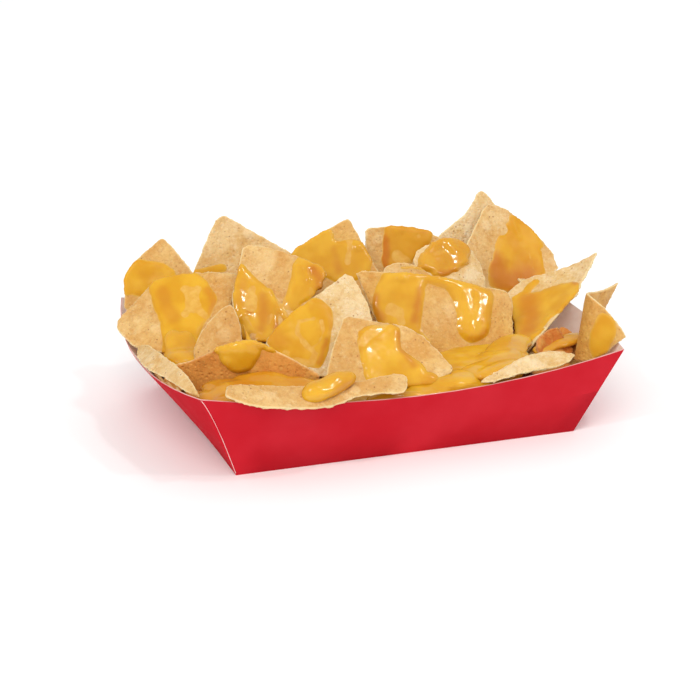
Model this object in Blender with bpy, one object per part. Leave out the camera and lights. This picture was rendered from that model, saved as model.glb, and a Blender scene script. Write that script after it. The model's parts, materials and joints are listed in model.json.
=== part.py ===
"""Nachos in a red paperboard food tray: tortilla chips heaped over a bed, with cheese sauce.

Lengths below are in millimetres and angles in degrees; MM turns lengths into metres.
The tray is centred on the origin and stands on z = 0. Its long side runs along X and its
front faces -Y.
"""
import math
from collections import namedtuple

import bmesh
import bpy
from mathutils import Vector

MM = 0.001
GAP = 0.3                 # clearance between pieces that touch

# ---------------------------------------------------------------- driving dimensions
TRAY_LENGTH = 190.0       # between the top corners
TRAY_DEPTH = 139.0
TRAY_HEIGHT = 40.0        # at the corners
BASE_LENGTH = 155.0
BASE_DEPTH = 117.0
BOARD = 0.9               # board thickness
WALL = 1.0                # level thickness of the sloping board
SIDE_DIP = 9.0            # how far the long rims dip between the corners
END_DIP = 4.9
SIDE_BOW = 2.4            # how far the long rims bow outward
END_BOW = 10.3
RIM_STEPS = 12            # straight pieces in each rim curve

CHIP_THICK = 1.8
SIDE_STEP = 13.0          # longest straight piece in a chip's outline
STRIP_MIN = 1.2           # narrowest strip in a chip
TIGHT = 20.0              # a curl below this radius is a fold, and gets strips of its own

BED_EDGE = 0.62           # bed height at the walls, as a share of the rim height
BED_LOW = 26.0            # height of the bed round its crown
BED_TOP = 43.0            # height of the bed's crown
BED_CROWN = 26.0          # how far behind the middle the crown lies
BED_LUMP = 1.2
BED_COLUMNS = 18
BED_ROWS = 13

COAT_EXTRA = 0.35         # clearance round a coat of sauce
POOL_DROP = 1.0           # how far a pool falls off at its edge
POOL_CROWN = 0.6          # how far it swells in the middle
POOL_HEADROOM = 12.0      # space cleared over a pool


# ---------------------------------------------------------------- materials
def material(name, colour, roughness):
    """A Principled material of one colour."""
    mat = bpy.data.materials.new(name)
    mat.use_nodes = True
    mat.diffuse_color = (*colour, 1.0)
    shader = mat.node_tree.nodes["Principled BSDF"]
    shader.inputs["Base Color"].default_value = (*colour, 1.0)
    shader.inputs["Roughness"].default_value = roughness
    shader.inputs["Metallic"].default_value = 0.0
    return mat


# ---------------------------------------------------------------- mesh helpers
def new_object(name, verts, faces, mat, parent=None):
    """Make a mesh object from points in millimetres and hang it under a parent."""
    mesh = bpy.data.meshes.new(name)
    mesh.from_pydata([Vector(v) * MM for v in verts], [], faces)
    bm = bmesh.new()
    bm.from_mesh(mesh)
    bmesh.ops.recalc_face_normals(bm, faces=bm.faces)
    bm.to_mesh(mesh)
    bm.free()
    mesh.update()
    obj = bpy.data.objects.new(name, mesh)
    if mat is not None:
        mesh.materials.append(mat)
    bpy.context.scene.collection.objects.link(obj)
    obj.parent = parent
    return obj


def as_cutter(obj):
    """Keep a helper out of renders and of the finished part."""
    obj.hide_render = True
    obj.display_type = "WIRE"
    return obj


def cut(obj, cutters):
    """Subtract each cutter from an object."""
    for cutter in cutters:
        boolean = obj.modifiers.new("cut_" + cutter.name, "BOOLEAN")
        boolean.operation = "DIFFERENCE"
        boolean.solver = "EXACT"
        boolean.object = cutter


# ---------------------------------------------------------------- outlines
def rounded(corners):
    """Round each corner (x, y, trim) of a polygon and split its long sides."""
    count = len(corners)
    points = []
    for i, (x, y, trim) in enumerate(corners):
        here = Vector((x, y))
        before = Vector(corners[i - 1][:2])
        after = Vector(corners[(i + 1) % count][:2])
        start = here + (before - here).normalized() * min(trim, 0.45 * (before - here).length)
        end = here + (after - here).normalized() * min(trim, 0.45 * (after - here).length)
        points += [start, (start + end + 2 * here) / 4, end]
    outline = []
    for i, point in enumerate(points):
        outline.append(point)
        step = points[(i + 1) % len(points)] - point
        pieces = max(1, math.ceil(step.length / SIDE_STEP))
        outline += [point + step * (k / pieces) for k in range(1, pieces)]
    return outline


def grown(outline, amount):
    """Move each point of a counter-clockwise outline outward by an amount."""
    count = len(outline)
    result = []
    for i, point in enumerate(outline):
        along = (outline[(i + 1) % count] - outline[i - 1]).normalized()
        result.append(point + Vector((along.y, -along.x)) * amount)
    return result


def counter_clockwise(outline):
    """Give an outline its counter-clockwise order."""
    count = len(outline)
    area = sum(outline[i].x * outline[(i + 1) % count].y - outline[(i + 1) % count].x * outline[i].y
               for i in range(count))
    return outline if area > 0 else outline[::-1]


def middle(outline):
    return sum(outline, Vector((0.0, 0.0))) / len(outline)


# ---------------------------------------------------------------- curled slabs
Curl = namedtuple("Curl", "radius axis half")


def curled(point, lift, curl):
    """Bend a point of a flat slab: lift is its height over the slab's mid surface.

    The slab bends about an axis through its origin, at curl.axis degrees from local x. A
    positive radius turns its edges up. Beyond curl.half from the axis it runs on straight.
    """
    axis = math.radians(curl.axis)
    along = Vector((math.cos(axis), math.sin(axis)))
    across = Vector((math.sin(axis), -math.cos(axis)))
    v = point.dot(along)
    u = point.dot(across)
    inner = max(-curl.half, min(curl.half, u))
    turn = inner / curl.radius
    reach = curl.radius * math.sin(turn) + (u - inner) * math.cos(turn) - lift * math.sin(turn)
    height = curl.radius * (1 - math.cos(turn)) + (u - inner) * math.sin(turn) + lift * math.cos(turn)
    flat = along * v + across * reach
    return (flat.x, flat.y, height)


def slab(outline, layers, curl):
    """Close a slab between layers, each (share of the outline, grow, lift), bottom to top.

    The first and the last layer are closed by a fan to their middle point.
    """
    centre = middle(outline)
    verts = []
    for share, grow, lift in layers:
        for point in grown(outline, grow) if grow else outline:
            verts.append(curled(centre + (point - centre) * share, lift, curl))
    count = len(outline)
    verts.append(curled(centre, layers[0][2], curl))
    verts.append(curled(centre, layers[-1][2], curl))
    bottom, top = len(verts) - 2, len(verts) - 1
    faces = []
    last = (len(layers) - 1) * count
    for i in range(count):
        j = (i + 1) % count
        faces.append((bottom, j, i))
        faces.append((top, last + i, last + j))
        for k in range(len(layers) - 1):
            a, b = k * count, (k + 1) * count
            faces.append((a + i, a + j, b + j, b + i))
    return verts, faces


def sheet(outline, half, curl):
    """Close a chip of thickness 2 * half, in strips that run along its curl axis."""
    axis = math.radians(curl.axis)
    along = Vector((math.cos(axis), math.sin(axis)))
    across = Vector((math.sin(axis), -math.cos(axis)))
    points = [(p.dot(across), p.dot(along)) for p in outline]
    count = len(points)
    first = min(range(count), key=lambda i: points[i])
    points = points[first:] + points[:first]
    last = max(range(count), key=lambda i: points[i])
    chains = [points[:last + 1], [points[0]] + points[:last - 1:-1]]

    def crossing(chain, u):
        for (u0, v0), (u1, v1) in zip(chain, chain[1:]):
            if u0 <= u <= u1:
                return v0 + (v1 - v0) * (u - u0) / max(u1 - u0, 1e-6)
        return chain[-1][1]

    start, end = points[0][0], points[last][0]
    cuts = []
    for u in sorted(p[0] for p in points):
        if u - start > STRIP_MIN and end - u > STRIP_MIN and (not cuts or u - cuts[-1] > STRIP_MIN):
            cuts.append(u)
    bend = curl.half if abs(curl.radius) < TIGHT else 0.0
    cuts = sorted(cuts + [bend * k / 4 for k in range(-4, 5) if bend])
    verts = []
    for u in [start] + cuts + [end]:
        for chain in chains:
            if u in (start, end) and chain is chains[1]:
                continue
            point = along * crossing(chain, u) + across * u
            verts += [curled(point, -half, curl), curled(point, half, curl)]
    faces = []
    steps = len(cuts)

    def corner(k, chain, side):
        if k == 0:
            return side
        if k == steps + 1:
            return 2 + 4 * steps + side
        return 2 + 4 * (k - 1) + 2 * chain + side

    for k in range(steps + 1):
        for side in (0, 1):
            ring = [corner(k, 0, side), corner(k + 1, 0, side), corner(k + 1, 1, side), corner(k, 1, side)]
            faces.append(tuple(dict.fromkeys(ring)))
        for chain in (0, 1):
            faces.append((corner(k, chain, 0), corner(k + 1, chain, 0),
                          corner(k + 1, chain, 1), corner(k, chain, 1)))
    return verts, faces


# ---------------------------------------------------------------- tray
def rim_point(side, t, share, inset):
    """A point on a tray panel: t runs along it, share from the base (0) to the rim (1)."""
    bulge = 4 * t * (1 - t)
    if side in ("front", "back"):
        sign = -1 if side == "front" else 1
        x0, x1 = (t - 0.5) * (BASE_LENGTH - 2 * inset), (t - 0.5) * (TRAY_LENGTH - 2 * inset)
        y0, y1 = BASE_DEPTH / 2 - inset, TRAY_DEPTH / 2 + SIDE_BOW * bulge - inset
        rim = TRAY_HEIGHT - SIDE_DIP * bulge
        return Vector((x0 + (x1 - x0) * share, sign * (y0 + (y1 - y0) * share), rim * share))
    sign = -1 if side == "left" else 1
    y0, y1 = (t - 0.5) * (BASE_DEPTH - 2 * inset), (t - 0.5) * (TRAY_DEPTH - 2 * inset)
    x0, x1 = BASE_LENGTH / 2 - inset, TRAY_LENGTH / 2 + END_BOW * bulge - inset
    rim = TRAY_HEIGHT - END_DIP * bulge
    return Vector((sign * (x0 + (x1 - x0) * share), y0 + (y1 - y0) * share, rim * share))


def tray_loop(share, inset):
    """Points around the tray at one share of its height, counter-clockwise from front left."""
    loop = []
    for side, reverse in (("front", False), ("right", False), ("back", True), ("left", True)):
        for k in range(RIM_STEPS):
            t = k / RIM_STEPS
            loop.append(rim_point(side, 1 - t if reverse else t, share, inset))
    return loop


def build_tray(mat):
    """The tray: four flared panels with dipping rims on a flat base."""
    floor = Vector((0.0, 0.0, BOARD))
    rings = [
        tray_loop(0.0, 0.0),
        tray_loop(0.5, 0.0),
        tray_loop(1.0, 0.0),
        tray_loop(1.0, WALL),
        tray_loop(0.5, WALL),
        [p + floor for p in tray_loop(0.0, WALL)],
    ]
    count = len(rings[0])
    verts = [p for ring in rings for p in ring]
    faces = []
    for k in range(len(rings) - 1):
        for i in range(count):
            j = (i + 1) % count
            faces.append((k * count + i, k * count + j, (k + 1) * count + j, (k + 1) * count + i))
    inside = (len(rings) - 1) * count
    faces.append(tuple(reversed(range(count))))
    faces.append(tuple(range(inside, inside + count)))
    return new_object("tray", verts, faces, mat)


# ---------------------------------------------------------------- chips
# A chip lies in a plane through `at`. `az` turns the way it faces from -Y towards +X, `lean`
# tips its top away from upright. Corners are (x, y, rounding) in that plane, y up the slope.
Chip = namedtuple("Chip", "name at az lean corners curl tone")


def quarter(radius, spin=0.0, open_angle=88.0):
    """Corners of a quarter-cut tortilla chip with its point up, turned by spin degrees."""
    corners = []
    for angle, reach, trim in ((0, 0, 4), (-0.5, 1, 5), (-0.17, 1.04, 9), (0.17, 1.04, 9), (0.5, 1, 5)):
        turn = math.radians(angle * open_angle + spin)
        corners.append((reach * radius * math.sin(turn), -reach * radius * math.cos(turn), trim))
    return corners


def curl(radius, axis=90.0, half=99.0):
    return Curl(radius, axis, half)


CHIPS = [
    # the row at the back, from left to right
    Chip("chip_back_left_low", (-85, 52, 49), -25, 25,
         [(4.5, 24.5, 3), (-8.5, 12.5, 5), (-13.3, 3.5, 2), (-11.6, -3, 3), (-12.6, -9.5, 2),
          (2, -19, 4), (26, -20, 4), (33, -7, 4)], curl(150, 80), "tan"),
    Chip("chip_back_left_tall", (-53, 48.2, 56), -12, 25,
         [(0.3, 27, 5), (-25, -27, 5), (14, -26, 12), (47, -3, 5)], curl(160, 60), "tan"),
    Chip("chip_back_middle", (-1, 30, 61), -15, 30,
         [(4.3, 20, 3), (-24.5, 3, 4), (-32, -18, 4), (4, -28, 10), (25, -22, 4)], curl(120, 70),
          "tan"),
    Chip("chip_back_round", (32, 40, 59), 0, 25,
         [(-17.5, 12, 4), (-1, 12, 8), (14, 9, 8), (25, -1, 6), (24, -26, 5), (-20, -26, 5)],
         curl(140, 90), "tan"),
    Chip("chip_back_right_tip", (71, 54, 66), -5, 20,
         [(7.8, 15, 2.5), (-2, 2, 4), (-8, -1, 4), (-22, -12, 4), (-16, -32, 4), (14, -32, 4),
          (25, -6, 4)], curl(-120, 90), "cream"),
    Chip("chip_back_right", (88, 42, 53), 5, 30,
         [(-8, 24, 3), (3, 21, 8), (13, 9, 8), (20.5, -1.5, 6), (23.5, -13, 4), (-18, -24, 4),
          (-31, -4, 5)], curl(110, 80), "tan"),
    # the second row
    Chip("chip_left_wide", (-85, 19, 47), -30, 56,
         [(-24.5, -7.5, 3), (-10.5, 20.5, 3), (9, 25, 6), (27.5, 25.5, 3), (27, 8, 6), (18, -14, 5),
          (4, -21, 4), (-12, -19.5, 4)], curl(-150, 60), "tan"),
    Chip("chip_centre_left", (-41, 10, 57), -12, 42,
         [(-10.5, 22, 2), (2.5, 20.5, 6), (15, 15, 8), (27.5, 6.5, 3), (20, -4, 5), (5, -26, 6),
          (-15, -24, 5), (-18, -3, 5)], curl(130, 70), "tan"),
    Chip("chip_under_blob", (49, 20, 58), 10, 45,
         [(-17.5, 7.5, 3), (-6.5, 11, 5), (8, 11.5, 5), (16.5, 0.5, 4), (13, -18, 3), (-8, -22, 5),
          (-21, -9, 5)], curl(-90, 90), "cream"),
    Chip("chip_behind_flat", (24, 8, 54), -5, 38,
         [(-12.5, 4, 2), (-10.5, 8.3, 2), (-5.5, 10, 3), (0, 10.2, 3), (6.5, 7, 3), (12.5, 1.5, 3),
          (14, -16, 5), (-14, -16, 5)], curl(150, 90), "tan"),
    # the third row
    Chip("chip_left_small", (-68, -10, 45), -20, 35,
         [(2.8, 16, 4), (-9.5, 5, 7), (-15, -10, 4), (-7, -21, 4), (8, -19, 4), (8, 4, 5)],
         curl(-110, 80), "tan"),
    Chip("chip_centre_bright", (-23, -20, 50), -15, 40,
         [(9.5, 23.5, 2.5), (-6, 11.5, 4), (-19, 2, 4), (-30, -10, 4), (-20, -25, 5), (4, -27, 5),
          (21, -12, 5), (17, 9, 5)], curl(120, 50), "cream"),
    Chip("chip_right_large", (30, -17, 48), -8, 35,
         [(-36.5, 22, 1.5), (-5, 17, 8), (19, 10.5, 8), (34.5, 8, 5), (33, -12, 5), (27, -25, 5),
          (-4, -26, 6), (-26, -16, 5)], curl(-200, 90), "tan"),
    Chip("chip_right_trough", (85, -12, 45), -69, 63,
         [(-0.5, 37, 1.5), (-10, 19, 8), (-19, 5, 5), (-21, -8, 5), (0, -23, 5), (8, -34, 4),
          (18, -34, 3), (11.5, -20, 6), (13, 7, 3), (7.5, 15, 5)], curl(40, 100), "cream"),
    # the front row
    Chip("chip_front_tent", (-68, -42, 43), -22, -6,
         [(4, 11.5, 5), (-10, 8, 4), (-24, -0.5, 4), (-33, -3, 2), (-26, -14, 4), (26, -14, 4),
          (33, -7, 3), (19, 3, 4)], curl(-120, 90), "tan"),
    Chip("chip_front_centre", (-13, -45, 44), -5, 43,
         [(-9, 17, 2), (16, 10, 4), (24, 4, 4), (35, -14, 3), (25, -19, 3), (-24, -17, 4), (-18, 0, 5)],
         curl(170, 80), "tan"),
    Chip("chip_right_shaded", (77, -42, 37), 10, 35,
         [(-15, 1, 3), (-3, 7, 4), (5, 5, 4), (5, -10, 4), (-13, -9, 4)], curl(90, 90), "tan"),
    Chip("chip_right_folded", (84.8, -51.5, 49), -80, 10,
         [(0, 11.5, 3), (8, 8, 4), (14, 2, 4), (21, -4.5, 2.5), (15.5, -8, 3), (12, -14.5, 4),
          (0, -20, 5), (-14, -18, 5), (-25, -1, 4), (-36, 12.5, 1.2), (-18, 10, 6)], curl(-7, 90, 7.6),
          "tan"),
    # the chips that rest on the rim
    Chip("chip_rim_left", (-99, -28, 41.9), -84, 52,
         [(-36.5, -2, 2), (-28, 1.5, 5), (14, 3, 6), (27, 2, 5), (38, -0.5, 1.5), (26, -3.5, 5),
          (10, -4.5, 6), (-10, -7.5, 6), (-24, -6.5, 6)], curl(-200, 90), "cream"),
    Chip("chip_rim_front", (-54, -74, 34.9), 7, 58,
         [(-28, 15.5, 3), (-31.5, 9.5, 4), (-22, 2.3, 6), (0, -3, 8), (13, -5, 6), (25, -2, 4),
          (35, -3, 4), (46, -6, 3), (51, 2, 3), (47, 5.5, 3), (24, 6, 5), (0, 9.5, 6)], curl(400, 90),
          "cream"),
    Chip("chip_rim_right", (53, -65.4, 36.9), 0, 62,
         [(-28, -7.8, 3), (-15, -1, 5), (-1, 5, 4), (12, 7, 5), (22.5, 1.5, 2), (15, -3.5, 4),
          (-6, -4.8, 5), (-22, -8.6, 3)], curl(400, 90), "cream"),
    # the side turned away, leaning back over the back and the right rims
    Chip("chip_rear_left", (-56, 46.5, 51), 172, 58, quarter(31, 8), curl(120, 80), "tan"),
    Chip("chip_rear_middle", (-6, 45, 50), 186, 60, quarter(32, -12), curl(130, 90), "cream"),
    Chip("chip_rear_right", (38, 48, 49.4), 174, 58, quarter(29, 10), curl(110, 90), "tan"),
    Chip("chip_rear_corner", (73, 53.5, 55), 162, 52, quarter(25, -6), curl(-110, 90), "tan"),
    Chip("chip_right_end", (80, 20, 47), 88, 68, quarter(30, 0, 54), curl(110, 90), "tan"),
]

TONES = {"tan": ((0.78, 0.50, 0.20), 0.6), "cream": ((0.84, 0.66, 0.36), 0.6)}


def build_chip(chip, mats):
    outline = counter_clockwise(rounded(chip.corners))
    obj = new_object(chip.name, *sheet(outline, CHIP_THICK / 2, chip.curl), mats[chip.tone])
    place(obj, chip)
    wide = sheet(grown(outline, GAP), CHIP_THICK / 2 + GAP, chip.curl)
    return obj, as_cutter(new_object("slot_" + chip.name, *wide, None, obj))


def place(obj, chip):
    obj.location = Vector(chip.at) * MM
    obj.rotation_euler = (math.radians(90 - chip.lean), 0.0, math.radians(chip.az))


# ---------------------------------------------------------------- cheese sauce
# Sauce that lies on a chip: corners are in that chip's plane, thick is its depth in the middle.
Coat = namedtuple("Coat", "name chip corners thick")

COATS = [
    Coat("sauce_back_left_low", "chip_back_left_low",
         [(-8, 12, 3), (6.5, 10, 4), (12, 5, 3), (2, -4, 5), (-10, -2, 3), (-11, 6, 4)], 1.6),
    Coat("sauce_back_middle", "chip_back_middle",
         [(-5, 14, 3), (-19, 7.5, 6), (-24, 2.5, 3), (-14, -4, 5), (2, -12, 5), (13, -6, 4),
          (13.5, 4, 4), (6, 8.5, 5), (-3, 6, 4)], 2.2),
    Coat("sauce_back_round", "chip_back_round",
         [(-6.5, 11, 2), (8.5, 10.5, 6), (17, 5, 4), (7, -3, 4), (-1, -9, 5), (-10.5, -8, 4)], 2.0),
    Coat("sauce_back_right", "chip_back_right",
         [(4.5, 14, 3), (10, 11.5, 4), (16, 4, 5), (15, -14, 5), (-2, -21, 5), (-15, -16, 4),
          (-11, -4, 5), (-3, 8, 4)], 2.4),
    Coat("sauce_left_wide", "chip_left_wide",
         [(-13, 17, 3), (-6, 21, 4), (6, 24.5, 3), (13, 19, 5), (20, 10, 4), (16, -4, 5), (14, -13, 4),
          (6, -21, 4), (0, -8, 6), (-8, 5, 6)], 2.0),
    Coat("sauce_centre_left", "chip_centre_left",
         [(-13, 13.5, 3), (-8, 7, 5), (2, -5, 5), (1, -14, 5), (-7, -22, 4), (-14, -18, 4),
          (-17, -3, 5)], 2.4),
    Coat("sauce_centre_top", "chip_centre_left",
         [(14, 14.5, 3), (20, 12, 4), (26, 6.5, 3), (23, -1, 4), (12, -9, 4), (8, -6, 3), (10, 3, 5)],
         3.0),
    Coat("sauce_blob", "chip_under_blob",
         [(-16.5, -1, 4), (-13, 6, 4), (-6, 10, 5), (7.5, 10.5, 4), (12, 4, 3), (6, -3, 5),
          (-8, -7.5, 4)], 5.5),
    Coat("sauce_centre_bright", "chip_centre_bright",
         [(-6, 10.5, 3), (-18, 1.5, 6), (-28, -9.5, 4), (-19, -17, 5), (-5, -22, 3), (-1, -9, 6),
          (0.5, 5, 5)], 2.4),
    Coat("sauce_right_left", "chip_right_large",
         [(-23, 18.5, 3), (-5.5, 16, 3), (-8, 5, 5), (-12, -11, 3), (-20, -8, 5), (-29, -3, 4),
          (-29.5, 8, 4)], 2.4),
    Coat("sauce_right_tongue", "chip_right_large",
         [(-3.5, 16, 2), (8, 12.5, 5), (25, 8, 3), (21.5, -6, 6), (19.5, -13, 4), (13, -16, 4),
          (6.5, -11.5, 4), (7.5, 5, 4), (-3.5, 12, 2)], 3.2),
    Coat("sauce_right_trough", "chip_right_trough",
         [(-14, -7, 4), (-8, 1, 5), (-1.5, 11, 5), (6, 14, 3), (12.5, 6, 4), (11, -8, 5), (10, -24, 4),
          (-2, -26, 5)], 2.4),
    Coat("sauce_front_centre", "chip_front_centre",
         [(-4.5, 9, 4), (8, 11, 5), (14, 8.5, 3), (12, -2, 4), (20, -9, 5), (22, -16, 2),
          (-4, -15.5, 2), (-4.5, 0, 5)], 3.0),
    Coat("sauce_front_drip", "chip_front_tent",
         [(-11, 7, 3), (2, 9.5, 4), (7, 7, 3), (3, -1, 4), (-3, -4, 4), (-9, -1, 4)], 2.6),
    Coat("sauce_right_folded", "chip_right_folded",
         [(7, 4.5, 2), (11, 3, 3), (14, -2, 3), (13.5, -7, 3), (10.5, -13, 3), (7, -15, 3), (4.5, -8, 3),
          (5, -1, 3)], 1.2),
    Coat("sauce_rim_front", "chip_rim_front",
         [(2.5, 3, 3), (7, 6.5, 3), (15, 8.5, 4), (24, 9.5, 3), (28.5, 8, 3), (27, 4, 3), (18, 0.5, 4),
          (10, -1.5, 4), (4.5, -1, 3)], 4.5),
    Coat("sauce_rim_right", "chip_rim_right",
         [(-25, -3.5, 2), (-20, -1, 3), (-12, 1.2, 3), (-3, 2.5, 2), (-4, 0, 2), (-12, -3.2, 3),
          (-21, -6.5, 3)], 2.6),
]


def build_coat(coat, mat, chips):
    """A puddle of sauce on a chip's upper face; returns the slot it takes in what it meets."""
    chip = next(c for c in CHIPS if c.name == coat.chip)
    outline = counter_clockwise(rounded(coat.corners))
    foot = CHIP_THICK / 2 + GAP
    layers = [(0.5, 0, foot), (1, 0, foot), (0.97, 0, foot + 0.5 * coat.thick),
              (0.84, 0, foot + 0.9 * coat.thick), (0.45, 0, foot + coat.thick)]
    new_object(coat.name, *slab(outline, layers, chip.curl), mat, chips[coat.chip])
    layers = [(0.5, 0, foot - GAP), (1, COAT_EXTRA, foot - GAP),
              (1, COAT_EXTRA, foot + 0.5 * coat.thick + GAP),
              (0.84, COAT_EXTRA, foot + 0.9 * coat.thick + GAP), (0.45, 0, foot + coat.thick + GAP)]
    slot = new_object("slot_" + coat.name, *slab(outline, layers, chip.curl), None, chips[coat.chip])
    return as_cutter(slot)


# Sauce pooled on the bed: corners are (x, y, rounding) seen from above; its level rises from
# near at its front edge to far at its back edge. A later pool lies on the ones before it.
Pool = namedtuple("Pool", "name corners near far floor")

POOLS = [
    Pool("pool_front_left", [(-89, -64, 4), (-80, -65.5, 5), (-52, -62, 5), (-38, -60, 5), (-40, -52, 4),
                             (-82, -46, 5)], 34.5, 39.0, 30.5),
    Pool("pool_front_right", [(-7, -68, 3), (30, -68, 6), (52, -58, 6), (62, -40, 6), (56, -28, 6),
                              (36, -27, 6), (18, -34, 6), (8, -52, 6), (-4, -62, 4)], 30.6, 35.5, 26.5),
    Pool("pool_right_fan", [(50, -50, 5), (60, -48, 5), (66, -36, 6), (61, -24, 5), (53, -25, 5),
                            (46, -40, 5)], 35.0, 40.5, 31.0),
]


def build_pool(pool, mat):
    outline = counter_clockwise(rounded(pool.corners))
    lowest = min(p.y for p in outline)
    span = max(p.y for p in outline) - lowest
    centre = middle(outline)

    def level(point):
        rise = min(1.0, max(0.0, (point.y - lowest) / span))
        return pool.near + (pool.far - pool.near) * rise

    def solid(name, grow, lift, surface):
        ring = grown(outline, grow) if grow else outline
        inner = [centre + (p - centre) * 0.8 for p in ring]
        verts = [(p.x, p.y, pool.floor - grow) for p in ring]
        verts += [(p.x, p.y, level(p) - POOL_DROP + lift) for p in ring]
        verts += [(p.x, p.y, level(p) + lift) for p in inner]
        verts += [(centre.x, centre.y, level(centre) + POOL_CROWN + lift)]
        count = len(ring)
        faces = [tuple(reversed(range(count)))]
        for i in range(count):
            j = (i + 1) % count
            faces.append((i, j, count + j, count + i))
            faces.append((count + i, count + j, 2 * count + j, 2 * count + i))
            faces.append((2 * count + i, 2 * count + j, 3 * count))
        return new_object(name, verts, faces, surface)

    obj = solid(pool.name, 0.0, 0.0, mat)
    return obj, as_cutter(solid("slot_" + pool.name, GAP, POOL_HEADROOM, None))


# ---------------------------------------------------------------- bed
def bed_height(x, y):
    """Height of the heap under the visible chips."""
    across = max(0.0, 1 - (x / 92) ** 2) ** 0.6
    crown = math.exp(-((y - BED_CROWN) / 33) ** 2)
    front = 0.45 * math.exp(-((y + 10) / 40) ** 2)
    lumps = BED_LUMP * math.sin(x / 9.0) * math.cos(y / 11.0)
    return BED_LOW + (BED_TOP - BED_LOW) * across * max(crown, front) + lumps


def build_bed(mat):
    """The heap of small chips that fills the tray: flared with the walls, lumpy on top."""
    inset = WALL + 1.5 * GAP
    verts = []
    for j in range(BED_ROWS + 1):
        for i in range(BED_COLUMNS + 1):
            fx, fy = i / BED_COLUMNS, j / BED_ROWS
            end = rim_point("right", fy, BED_EDGE, inset)
            side = rim_point("back", fx, BED_EDGE, inset)
            x, y = (2 * fx - 1) * end.x, (2 * fy - 1) * side.y
            share = min(1.0, min(i, BED_COLUMNS - i, j, BED_ROWS - j) / 2)
            edge_z = min(end.z, side.z)
            verts.append((x, y, edge_z + (bed_height(x, y) - edge_z) * share))
    row = BED_COLUMNS + 1
    faces = []
    for j in range(BED_ROWS):
        for i in range(BED_COLUMNS):
            a = j * row + i
            faces.append((a, a + 1, a + row + 1, a + row))
    ring = [i for i in range(row)]
    ring += [j * row + BED_COLUMNS for j in range(1, BED_ROWS + 1)]
    ring += [BED_ROWS * row + i for i in range(BED_COLUMNS - 1, -1, -1)]
    ring += [j * row for j in range(BED_ROWS - 1, 0, -1)]
    foot_inset = inset + 2 * GAP
    foot = len(verts)
    for k in ring:
        j, i = divmod(k, row)
        end = rim_point("right", j / BED_ROWS, 0.0, foot_inset)
        side = rim_point("back", i / BED_COLUMNS, 0.0, foot_inset)
        x = (2 * i / BED_COLUMNS - 1) * end.x
        y = (2 * j / BED_ROWS - 1) * side.y
        verts.append((x, y, BOARD + GAP))
    count = len(ring)
    for m in range(count):
        n = (m + 1) % count
        faces.append((ring[m], foot + m, foot + n, ring[n]))
    faces.append(tuple(range(foot, foot + count)))
    return new_object("chip_bed", verts, faces, mat)


# ---------------------------------------------------------------- assembly
def main():
    for obj in list(bpy.data.objects):
        bpy.data.objects.remove(obj, do_unlink=True)
    red = material("red_board", (0.60, 0.02, 0.03), 0.45)
    sauce = material("cheese_sauce", (0.85, 0.42, 0.03), 0.2)
    bed_mat = material("chip_heap", (0.72, 0.42, 0.14), 0.7)
    mats = {tone: material("chip_" + tone, *look) for tone, look in TONES.items()}

    build_tray(red)
    chips, chip_slots = {}, []
    for chip in CHIPS:
        chips[chip.name], slot = build_chip(chip, mats)
        chip_slots.append(slot)
    coat_slots = [build_coat(coat, sauce, chips) for coat in COATS]
    pools, pool_slots = [], []
    for pool in POOLS:
        obj, slot = build_pool(pool, sauce)
        pools.append(obj)
        pool_slots.append(slot)
    bed = build_bed(bed_mat)
    for k, pool in enumerate(pools):
        cut(pool, chip_slots + coat_slots + pool_slots[k + 1:])
    cut(bed, chip_slots + coat_slots + pool_slots)


main()
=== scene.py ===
"""The looks of the nachos: fried chips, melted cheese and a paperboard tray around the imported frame.

Lengths here are in millimetres, turned into metres by MM where a mesh is written. Each visible
chip is made from its CAD solid, and the sauce on it is a skin grown from that chip's surface.
"""
import json
import math
import random

import bmesh
import bpy
import numpy as np
from mathutils import Matrix, Quaternion, Vector, noise
from mathutils.bvhtree import BVHTree


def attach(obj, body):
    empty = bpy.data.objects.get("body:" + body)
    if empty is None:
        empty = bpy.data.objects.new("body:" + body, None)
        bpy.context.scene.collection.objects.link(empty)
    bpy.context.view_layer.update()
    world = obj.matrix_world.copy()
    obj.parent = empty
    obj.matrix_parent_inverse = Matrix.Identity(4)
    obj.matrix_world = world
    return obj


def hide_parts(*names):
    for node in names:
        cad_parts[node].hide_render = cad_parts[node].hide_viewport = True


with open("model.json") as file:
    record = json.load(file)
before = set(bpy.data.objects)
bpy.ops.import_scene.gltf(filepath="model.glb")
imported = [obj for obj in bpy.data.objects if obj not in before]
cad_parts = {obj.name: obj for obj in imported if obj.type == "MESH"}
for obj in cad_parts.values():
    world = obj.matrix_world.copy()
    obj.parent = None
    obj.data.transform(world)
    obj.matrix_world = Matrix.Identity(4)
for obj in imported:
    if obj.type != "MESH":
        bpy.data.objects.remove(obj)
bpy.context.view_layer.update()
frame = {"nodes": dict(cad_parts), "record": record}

MM = 0.001

CHIP_THICK = 1.8          # the CAD chips, which the fine ones are slimmed from
CHIP_VOXEL = 0.7
SLIM = 0.22               # taken off each face of a chip
SINK = 0.5                # how far sauce runs on under a chip's surface at its edge
GAP = 0.3                 # the CAD's clearance between touching pieces


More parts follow.
